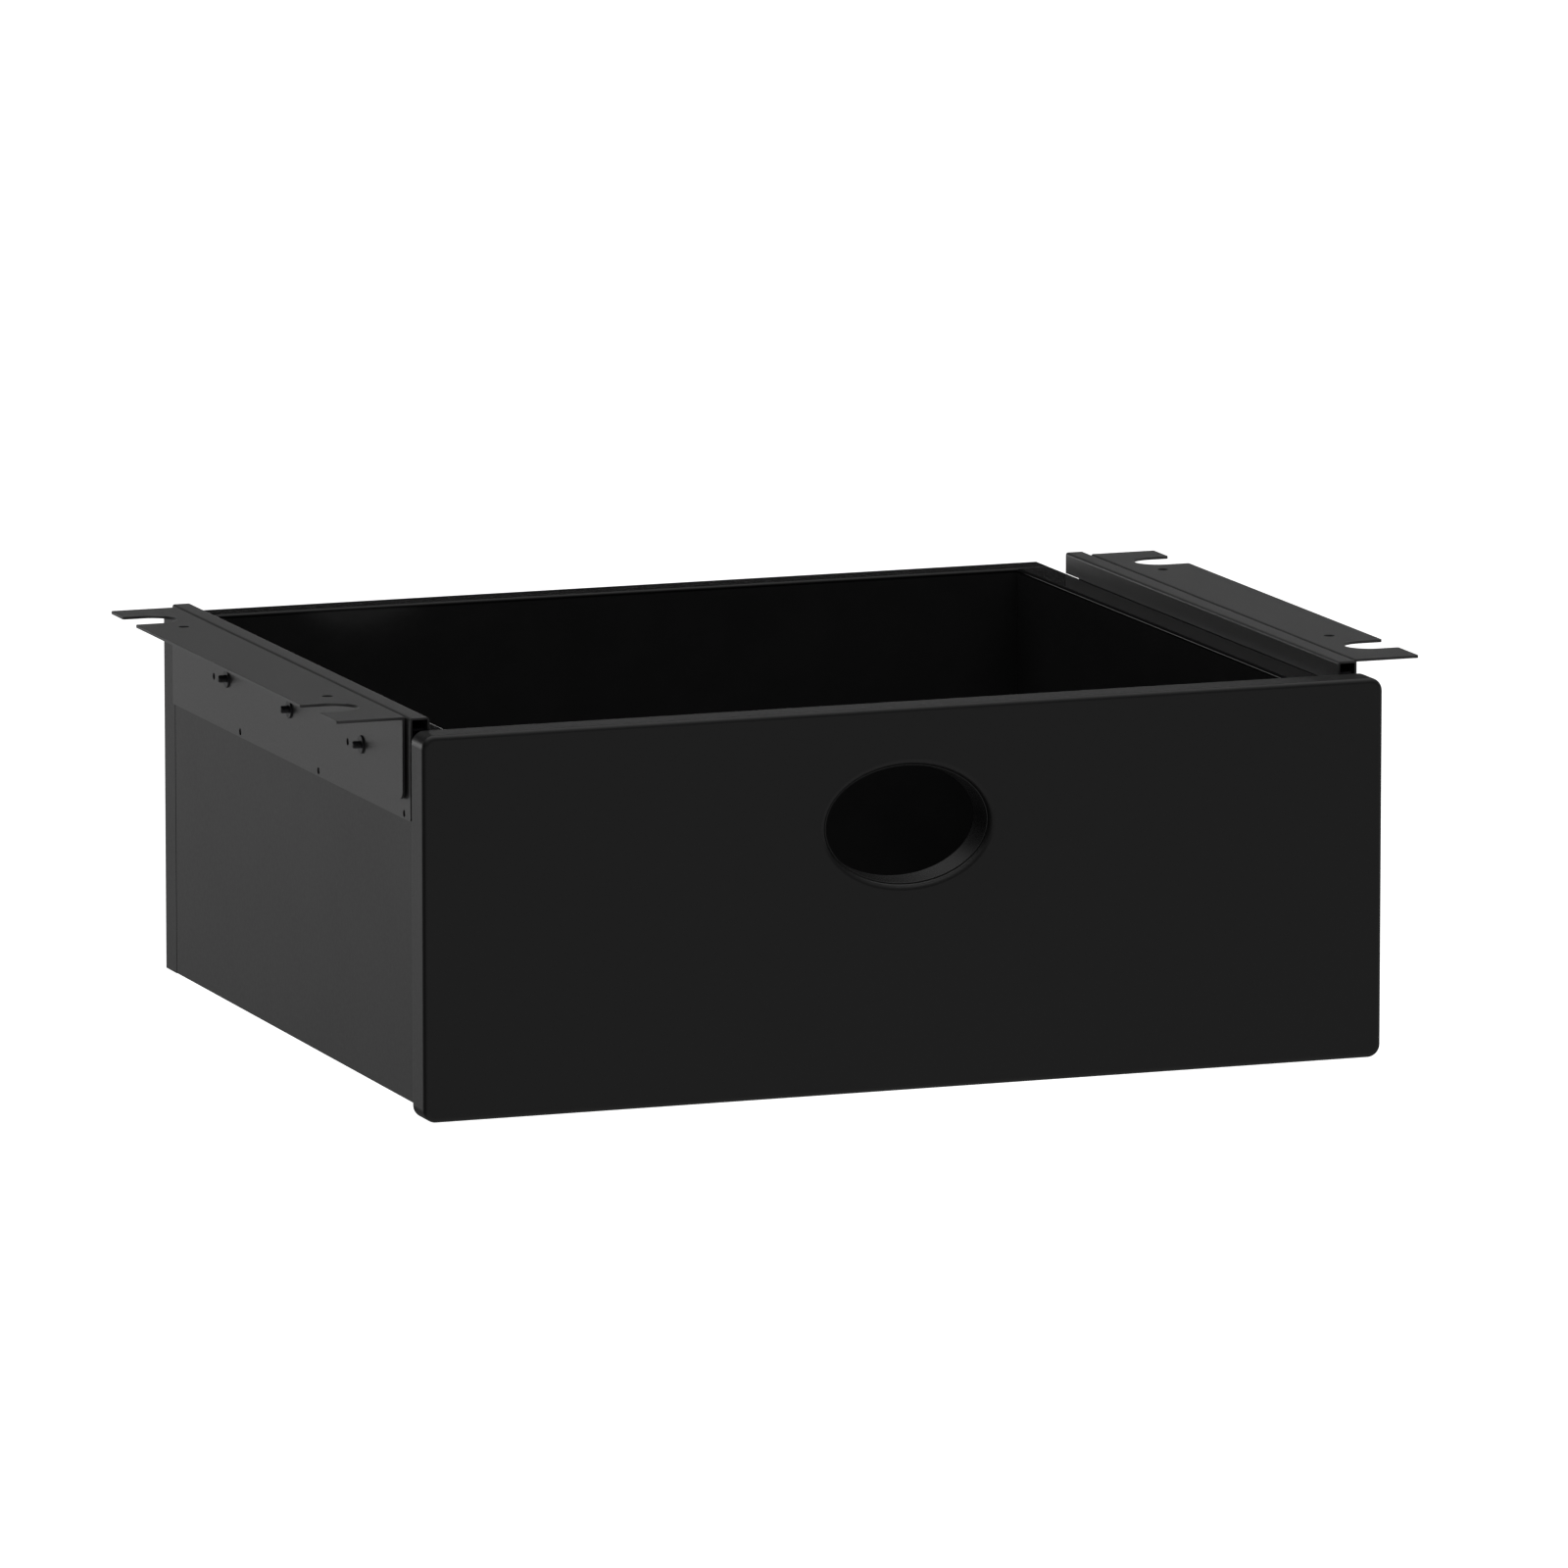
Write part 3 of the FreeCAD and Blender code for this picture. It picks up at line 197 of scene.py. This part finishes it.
def box_board(name, base, pale, rough, specular):
    """Lacquered outside faces; rims and inside carry a darker, smoother foil, the rims' convex edges lightened with a
    painted highlight.
    """
    m = lacquer(name, base, pale, rough, specular)
    sep = node(m.nt, "ShaderNodeSeparateXYZ")
    m.link(m.tc.outputs["Object"], sep.inputs[0])
    ax = m.math("ABSOLUTE", sep.outputs[0])
    side = m.remap(ax, 0.23715, 0.23755, 0.0, 1.0)
    back = m.remap(sep.outputs[1], 0.22365, 0.22405, 0.0, 1.0)
    under = m.remap(sep.outputs[2], -0.1944, -0.1940, 1.0, 0.0)
    outside = m.math("MAXIMUM", m.math("MAXIMUM", side, back), under)
    foil = m.mix_color(m.remap(m.noise(60.0, 3.0, 0.5), 0.35, 0.7, 0.0, 0.6, True), (0.0024, 0.0024, 0.0025), (0.0034, 0.0034, 0.0035))
    # painted highlight: along the rims' convex edges the dark foil is mixed towards 0.012 grey-black
    painted_highlight_edge = m.edge_mask(0.0012)
    inner_colour_painted_highlight = m.mix_color(m.math("MULTIPLY", painted_highlight_edge, 0.7), foil, (0.012, 0.012, 0.0122))
    inside = m.mix_color(m.remap(m.noise(34.0, 4.0, 0.55), 0.35, 0.7, 0.0, 0.7, True), (0.0330, 0.0330, 0.0334), (0.0400, 0.0400, 0.0404))
    inner_colour_painted_highlight = m.mix_color(m.remap(sep.outputs[2], -0.0135, -0.0128, 1.0, 0.0), inner_colour_painted_highlight, inside)
    m.color = m.mix_color(outside, inner_colour_painted_highlight, m.color)
    m.link(m.color, m.p.inputs["Base Color"])
    foil_rough = m.math("ADD", m.remap(m.noise(380.0, 2.0, 0.5), 0.3, 0.7, 0.07, 0.11), m.math("MULTIPLY", painted_highlight_edge, 0.30))
    n = node(m.nt, "ShaderNodeMix", data_type="FLOAT")
    m.link(outside, n.inputs[0])
    m.link(foil_rough, n.inputs[2])
    m.link(m.rough_out, n.inputs[3])
    m.roughen(n.outputs[0])
    return m


def powder(name, base, pale, rough, specular):
    """Matt fine-texture powder coat on steel sheet."""
    m = Mat(name, base, rough, specular=specular)
    cloud = m.noise(11.0, 4.0, 0.55)
    grain = m.noise(1500.0, 3.0, 0.65)
    fleck = m.noise(3800.0, 1.0, 0.5)
    m.tint(m.remap(cloud, 0.35, 0.7, 0.0, 0.5, True), pale)
    m.tint(m.remap(fleck, 0.64, 0.8, 0.0, 0.5, True), tuple(min(1, c * 1.9) for c in pale))
    edge = m.edge_mask(0.0005)
    m.tint(m.math("MULTIPLY", edge, 0.4), tuple(min(1, c * 1.8) for c in pale))
    m.roughen(m.remap(grain, 0.3, 0.7, rough - 0.05, rough + 0.06))
    m.bump(grain, 0.28, 0.00012)
    m.bump(fleck, 0.12, 0.00004)
    return m


def rolled_steel(name, base, pale, rough, metallic=1.0):
    """Plated steel strip with rolling lines along Y and faint grease."""
    m = Mat(name, base, rough, metallic=metallic, specular=0.5)
    lines = m.noise(900.0, 3.0, 0.6, stretch=(1, 0.02, 1))
    cloud = m.noise(26.0, 4.0, 0.6)
    m.tint(m.remap(lines, 0.35, 0.7, 0.0, 0.5), pale)
    m.tint(m.remap(cloud, 0.5, 0.75, 0.0, 0.4, True), tuple(c * 0.6 for c in base))
    r = m.math("ADD", m.remap(lines, 0.3, 0.7, rough - 0.06, rough + 0.07), m.remap(cloud, 0.3, 0.7, -0.05, 0.06))
    m.roughen(r)
    m.bump(lines, 0.2, 0.00005)
    return m


def turned_metal(name, base, pale, rough, metallic=1.0):
    """Small plated hardware: fine tool lines, worn edges and dull patches."""
    m = Mat(name, base, rough, metallic=metallic, specular=0.5)
    cloud = m.noise(160.0, 4.0, 0.6)
    fine = m.noise(2500.0, 2.0, 0.6)
    m.tint(m.remap(cloud, 0.35, 0.7, 0.0, 0.6, True), pale)
    edge = m.edge_mask(0.00025)
    m.tint(m.math("MULTIPLY", edge, 0.5), tuple(min(1, c * 2.0) for c in pale))
    m.roughen(m.math("ADD", m.remap(cloud, 0.3, 0.7, rough - 0.07, rough + 0.08), m.remap(fine, 0.3, 0.7, -0.04, 0.04)))
    m.bump(fine, 0.15, 0.00003)
    return m


def moulded(name, base, pale, rough, specular):
    """Moulded black plastic or rubber with a fine spark-eroded grain."""
    m = Mat(name, base, rough, specular=specular)
    grain = m.noise(1900.0, 2.0, 0.6)
    cloud = m.noise(40.0, 3.0, 0.5)
    m.tint(m.remap(cloud, 0.35, 0.7, 0.0, 0.6, True), pale)
    m.roughen(m.math("ADD", m.remap(grain, 0.3, 0.7, rough - 0.05, rough + 0.05), m.remap(cloud, 0.3, 0.7, -0.03, 0.03)))
    m.bump(grain, 0.14, 0.00006)
    return m


def beech(name):
    m = Mat(name, (0.52, 0.36, 0.2), 0.6, specular=0.3)
    grain = m.noise(300.0, 5.0, 0.65, stretch=(1, 0.06, 1), distortion=0.6)
    m.tint(m.remap(grain, 0.3, 0.7, 0.0, 0.8), (0.36, 0.22, 0.11))
    m.roughen(m.remap(grain, 0.3, 0.7, 0.5, 0.7))
    m.bump(grain, 0.3, 0.0001)
    return m


M = {}
M["front"] = lacquer("front_lacquer", (0.0190, 0.0190, 0.0192), (0.0230, 0.0230, 0.0233), 0.36, 0.48)
M["box"] = box_board("box_lacquer", (0.0150, 0.0150, 0.0152), (0.0180, 0.0180, 0.0182), 0.33, 0.35)
M["powder"] = powder("bracket_powder", (0.0460, 0.0460, 0.0463), (0.0510, 0.0510, 0.0514), 0.37, 0.95)
M["black_zinc"] = turned_metal("black_zinc", (0.055, 0.055, 0.058), (0.080, 0.080, 0.084), 0.40, 0.6)
M["rail"] = rolled_steel("rail_black_zinc", (0.055, 0.055, 0.06), (0.085, 0.085, 0.09), 0.38, 0.85)
M["cage"] = rolled_steel("cage_zinc", (0.50, 0.50, 0.52), (0.60, 0.60, 0.62), 0.33)
M["ball"] = turned_metal("ball_chrome", (0.72, 0.72, 0.74), (0.80, 0.80, 0.82), 0.10)
M["rubber"] = moulded("stop_rubber", (0.018, 0.018, 0.018), (0.026, 0.026, 0.026), 0.75, 0.25)
M["liner"] = moulded("liner_plastic", (0.031, 0.031, 0.0312), (0.035, 0.035, 0.0352), 0.28, 0.50)
M["cam"] = turned_metal("cam_zinc", (0.42, 0.42, 0.43), (0.52, 0.52, 0.53), 0.40)
M["beech"] = beech("dowel_beech")

ASSIGN = {
    "front_panel": "front", "left_side_panel": "box", "right_side_panel": "box", "back_panel": "box", "bottom_panel": "box",
    "finger_hole_liner": "liner", "cam_locks": "cam", "cam_bolts": "cam", "wood_dowels": "beech", "back_panel_screws": "black_zinc",
}
for s in SIDES:
    ASSIGN.update({
        s + "_mounting_bracket": "powder", s + "_slide_cover": "powder", s + "_press_nuts": "black_zinc",
        s + "_slide_bolts": "black_zinc", s + "_slide_outer_rail": "rail", s + "_slide_inner_rail": "rail",
        s + "_rail_screws": "black_zinc", s + "_ball_cage": "cage", s + "_bearing_balls": "ball", s + "_rail_stop": "rubber"})


def dress(obj, key):
    obj.data.materials.clear()
    obj.data.materials.append(M[key].m)


for name, obj in NODES.items():
    dress(obj, ASSIGN[name])


# ------------------------------------------------------- screws with threads
def turned(name, rings, spokes=48):
    """Closed mesh from rings of (x, radius function of the angle), capped at both ends."""
    me = bpy.data.meshes.new(name)
    bm = bmesh.new()
    rows = []
    for x, radius in rings:
        rows.append([bm.verts.new((x, radius(2 * math.pi * k / spokes) * math.cos(2 * math.pi * k / spokes),
                                   radius(2 * math.pi * k / spokes) * math.sin(2 * math.pi * k / spokes)))
                     for k in range(spokes)])
    for a, b in zip(rows, rows[1:]):
        for k in range(spokes):
            j = (k + 1) % spokes
            bm.faces.new((a[k], a[j], b[j], b[k]))
    for row, x, turn in ((rows[0], rings[0][0], 1), (rows[-1], rings[-1][0], -1)):
        mid = bm.verts.new((x, 0, 0))
        for k in range(spokes):
            j = (k + 1) % spokes
            bm.faces.new((mid, row[j], row[k]) if turn > 0 else (mid, row[k], row[j]))
    bm.normal_update()
    bmesh.ops.recalc_face_normals(bm, faces=bm.faces)
    bm.to_mesh(me)
    bm.free()
    me.polygons.foreach_set("use_smooth", [True] * len(me.polygons))
    me.set_sharp_from_angle(angle=math.radians(38))
    return me


def round_ring(r):
    return lambda t: r


def hex_ring(r):
    return lambda t: r * math.cos(math.pi / 6) / math.cos((t + math.pi / 6) % (math.pi / 3) - math.pi / 6)


def thread_ring(x, root, crest, pitch, fade):
    def radius(t):
        s = (x / pitch - t / (2 * math.pi)) % 1.0
        ridge = max(0.0, 1.0 - abs(s - 0.5) / 0.42)
        return root + (crest - root) * min(1.0, ridge * 1.15) * fade
    return radius


MM = 0.001
HEAD_R, SHANK_R, ROOT_R, PITCH = 3.45 * MM, 1.98 * MM, 1.68 * MM, 0.7 * MM
LONG = 8.93 * MM            # from the head's face to the tip
rings = [(-1.35 * MM, round_ring(0.35 * MM)), (-1.30 * MM, hex_ring(1.24 * MM)), (-0.10 * MM, hex_ring(1.25 * MM)),
         (-0.01 * MM, hex_ring(1.33 * MM)), (-0.01 * MM, round_ring(HEAD_R - 0.12 * MM)),
         (-0.08 * MM, round_ring(HEAD_R)), (-0.14 * MM, round_ring(HEAD_R - 0.06 * MM)), (-1.52 * MM, round_ring(SHANK_R - 0.02 * MM))]
x = 1.70 * MM
while x < LONG - 0.55 * MM:
    lead = min(1.0, (x - 1.60 * MM) / (0.7 * MM), (LONG - 0.45 * MM - x) / (0.5 * MM))
    rings.append((-x, thread_ring(x, ROOT_R, SHANK_R, PITCH, max(0.0, lead))))
    x += PITCH / 9
rings += [(-(LONG - 0.40 * MM), round_ring(ROOT_R - 0.02 * MM)), (-(LONG - 0.02 * MM), round_ring(ROOT_R - 0.42 * MM)),
          (-LONG, round_ring(ROOT_R - 0.55 * MM))]
screw_mesh = turned("m4_screw", rings)
for s in SIDES:
    old = NODES[s + "_slide_bolts"]
    corners = [old.matrix_world @ v.co for v in old.data.vertices]
    xs = [c.x for c in corners]
    face_x = max(xs) if s == "left" else min(xs)
    ys = sorted(c.y for c in corners)
    spans, start = [], ys[0]
    for lo, hi in zip(ys, ys[1:]):
        if hi - lo > 0.02:
            spans.append((start, lo))
            start = hi
    spans.append((start, ys[-1]))
    zs = [c.z for c in corners]
    mid_z = (min(zs) + max(zs)) / 2
    screws = bmesh.new()
    for lo, hi in spans:
        move = Matrix.Translation((face_x, (lo + hi) / 2, mid_z))
        spin = Matrix.Rotation(0 if s == "left" else math.pi, 4, "Z")
        copy = screw_mesh.copy()
        copy.transform(move @ spin)
        screws.from_mesh(copy)
        bpy.data.meshes.remove(copy)
    mesh = bpy.data.meshes.new(s + "_m4_screws")
    screws.to_mesh(mesh)
    screws.free()
    mesh.polygons.foreach_set("use_smooth", [True] * len(mesh.polygons))
    mesh.set_sharp_from_angle(angle=math.radians(38))
    piece = bpy.data.objects.new(s + "_m4_screws", mesh)
    scene.collection.objects.link(piece)
    mesh.materials.append(M["black_zinc"].m)
    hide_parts(s + "_slide_bolts")
    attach(piece, "desk_mount")
bpy.data.meshes.remove(screw_mesh)


# --------------------------------------------------------------- stage, light
def emitter(name, size_x, size_y, at, aim, power, spread=math.pi):
    data = bpy.data.lights.new(name, "AREA")
    data.shape = "RECTANGLE"
    data.size, data.size_y = size_x, size_y
    data.energy = power
    data.spread = spread
    obj = bpy.data.objects.new(name, data)
    scene.collection.objects.link(obj)
    obj.location = at
    obj.rotation_euler = (Vector(aim) - Vector(at)).to_track_quat("-Z", "Y").to_euler()
    return obj


FLOOR_Z = CAD_BOX[0][2] - 0.55
floor_mesh = bpy.data.meshes.new("floor")
F = 30.0
floor_mesh.from_pydata([(-F, -F, FLOOR_Z), (F, -F, FLOOR_Z), (F, F, FLOOR_Z), (-F, F, FLOOR_Z)], [], [(0, 1, 2, 3)])
floor = bpy.data.objects.new("floor", floor_mesh)
scene.collection.objects.link(floor)
fm = bpy.data.materials.new("floor_pale")
fm.use_nodes = True
nt = fm.node_tree
nt.nodes.clear()
fo = node(nt, "ShaderNodeOutputMaterial")
fd = node(nt, "ShaderNodeBsdfDiffuse")
fd.inputs["Color"].default_value = (0.9, 0.9, 0.9, 1)
fe = node(nt, "ShaderNodeEmission")
fe.inputs["Color"].default_value = (1, 1, 1, 1)
fe.inputs["Strength"].default_value = 1.0
fa = node(nt, "ShaderNodeAddShader")
nt.links.new(fd.outputs[0], fa.inputs[0])
nt.links.new(fe.outputs[0], fa.inputs[1])
ft = node(nt, "ShaderNodeBsdfTransparent")
fmix = node(nt, "ShaderNodeMixShader")
fg = node(nt, "ShaderNodeNewGeometry")
nt.links.new(fg.outputs["Backfacing"], fmix.inputs[0])
nt.links.new(fa.outputs[0], fmix.inputs[1])
nt.links.new(ft.outputs[0], fmix.inputs[2])
nt.links.new(fmix.outputs[0], fo.inputs["Surface"])
floor_mesh.materials.append(fm)
floor.visible_diffuse = False
floor.visible_glossy = False

world = bpy.data.worlds.new("studio")
scene.world = world
world.use_nodes = True
wt = world.node_tree
wt.nodes.clear()
wo = node(wt, "ShaderNodeOutputWorld")
w_seen = node(wt, "ShaderNodeBackground")
w_seen.inputs["Color"].default_value = (1, 1, 1, 1)
w_seen.inputs["Strength"].default_value = 1.0
w_lit = node(wt, "ShaderNodeBackground")
w_dir = node(wt, "ShaderNodeTexCoord")
w_sep = node(wt, "ShaderNodeSeparateXYZ")
wt.links.new(w_dir.outputs["Generated"], w_sep.inputs[0])


def elevation_ramp(stops):
    """Light level against the sine of the elevation, from -1 to 1."""
    mp = node(wt, "ShaderNodeMapRange")
    mp.inputs["From Min"].default_value = -1.0
    mp.inputs["From Max"].default_value = 1.0
    wt.links.new(w_sep.outputs[2], mp.inputs["Value"])
    ramp = node(wt, "ShaderNodeValToRGB")
    ramp.color_ramp.interpolation = "LINEAR"
    while len(ramp.color_ramp.elements) < len(stops):
        ramp.color_ramp.elements.new(0.5)
    for element, (at, level) in zip(ramp.color_ramp.elements, stops):
        element.position = (at + 1) / 2
        element.color = (level, level, level, 1)
    wt.links.new(mp.outputs["Result"], ramp.inputs[0])
    return ramp.outputs[0]


BEHIND = ((-1.0, 0.30), (-0.45, 0.16), (-0.30, 0.08), (-0.205, 0.15), (-0.13, 0.55), (-0.02, 1.35), (0.062, 1.35), (0.105, 0.015), (0.42, 0.02), (0.60, 0.30), (1.0, 0.40))
IN_FRONT = ((-1.0, 0.30), (-0.30, 0.27), (-0.02, 0.27), (0.08, 0.06), (0.36, 0.06), (0.60, 0.26), (1.0, 0.40))
w_side = node(wt, "ShaderNodeMapRange")
w_side.interpolation_type = "SMOOTHSTEP"
w_side.inputs["From Min"].default_value = -0.25
w_side.inputs["From Max"].default_value = 0.25
wt.links.new(w_sep.outputs[1], w_side.inputs["Value"])
w_both = node(wt, "ShaderNodeMix", data_type="RGBA")
wt.links.new(w_side.outputs["Result"], w_both.inputs[0])
wt.links.new(elevation_ramp(IN_FRONT), w_both.inputs[6])
wt.links.new(elevation_ramp(BEHIND), w_both.inputs[7])
# the far left of the studio is darker
w_left = node(wt, "ShaderNodeMapRange")
w_left.interpolation_type = "SMOOTHSTEP"
for key, value in (("From Min", -0.90), ("From Max", -0.50), ("To Min", 0.22), ("To Max", 1.0)):
    w_left.inputs[key].default_value = value
wt.links.new(w_sep.outputs[0], w_left.inputs["Value"])
w_dim = node(wt, "ShaderNodeMix", data_type="RGBA", blend_type="MULTIPLY")
w_dim.inputs[0].default_value = 1.0
wt.links.new(w_both.outputs[2], w_dim.inputs[6])
wt.links.new(w_left.outputs["Result"], w_dim.inputs[7])
wt.links.new(w_dim.outputs[2], w_lit.inputs["Color"])
w_lit.inputs["Strength"].default_value = 1.0
w_path = node(wt, "ShaderNodeLightPath")
w_mix = node(wt, "ShaderNodeMixShader")
wt.links.new(w_path.outputs["Is Camera Ray"], w_mix.inputs[0])
wt.links.new(w_lit.outputs[0], w_mix.inputs[1])
wt.links.new(w_seen.outputs[0], w_mix.inputs[2])
wt.links.new(w_mix.outputs[0], wo.inputs["Surface"])

emitter("top_softbox", 5.0, 5.0, (0.2, 0.6, 3.6), (0, 0, 0), 28)

# --------------------------------------------------------------------- camera
YAW, PITCH = math.radians(20.314), math.radians(9.816)
cam_data = bpy.data.cameras.new("camera")
cam_data.sensor_width = 36.0
cam_data.lens = 36.0 * 15870.7 / 1600.0
cam_data.clip_start = 0.1
cam_data.clip_end = 100.0
camera = bpy.data.objects.new("camera", cam_data)
scene.collection.objects.link(camera)
fwd = Vector((math.sin(YAW) * math.cos(PITCH), math.cos(YAW) * math.cos(PITCH), -math.sin(PITCH)))
right = Vector((math.cos(YAW), -math.sin(YAW), 0))
up = right.cross(fwd)
rot = Matrix((right, up, -fwd)).transposed().to_4x4()
camera.matrix_world = Matrix.Translation((-2.648949, -7.196637, 1.249325)) @ rot
scene.camera = camera

scene.view_settings.view_transform = "Standard"
scene.view_settings.look = "None"
scene.view_settings.exposure = 0.0
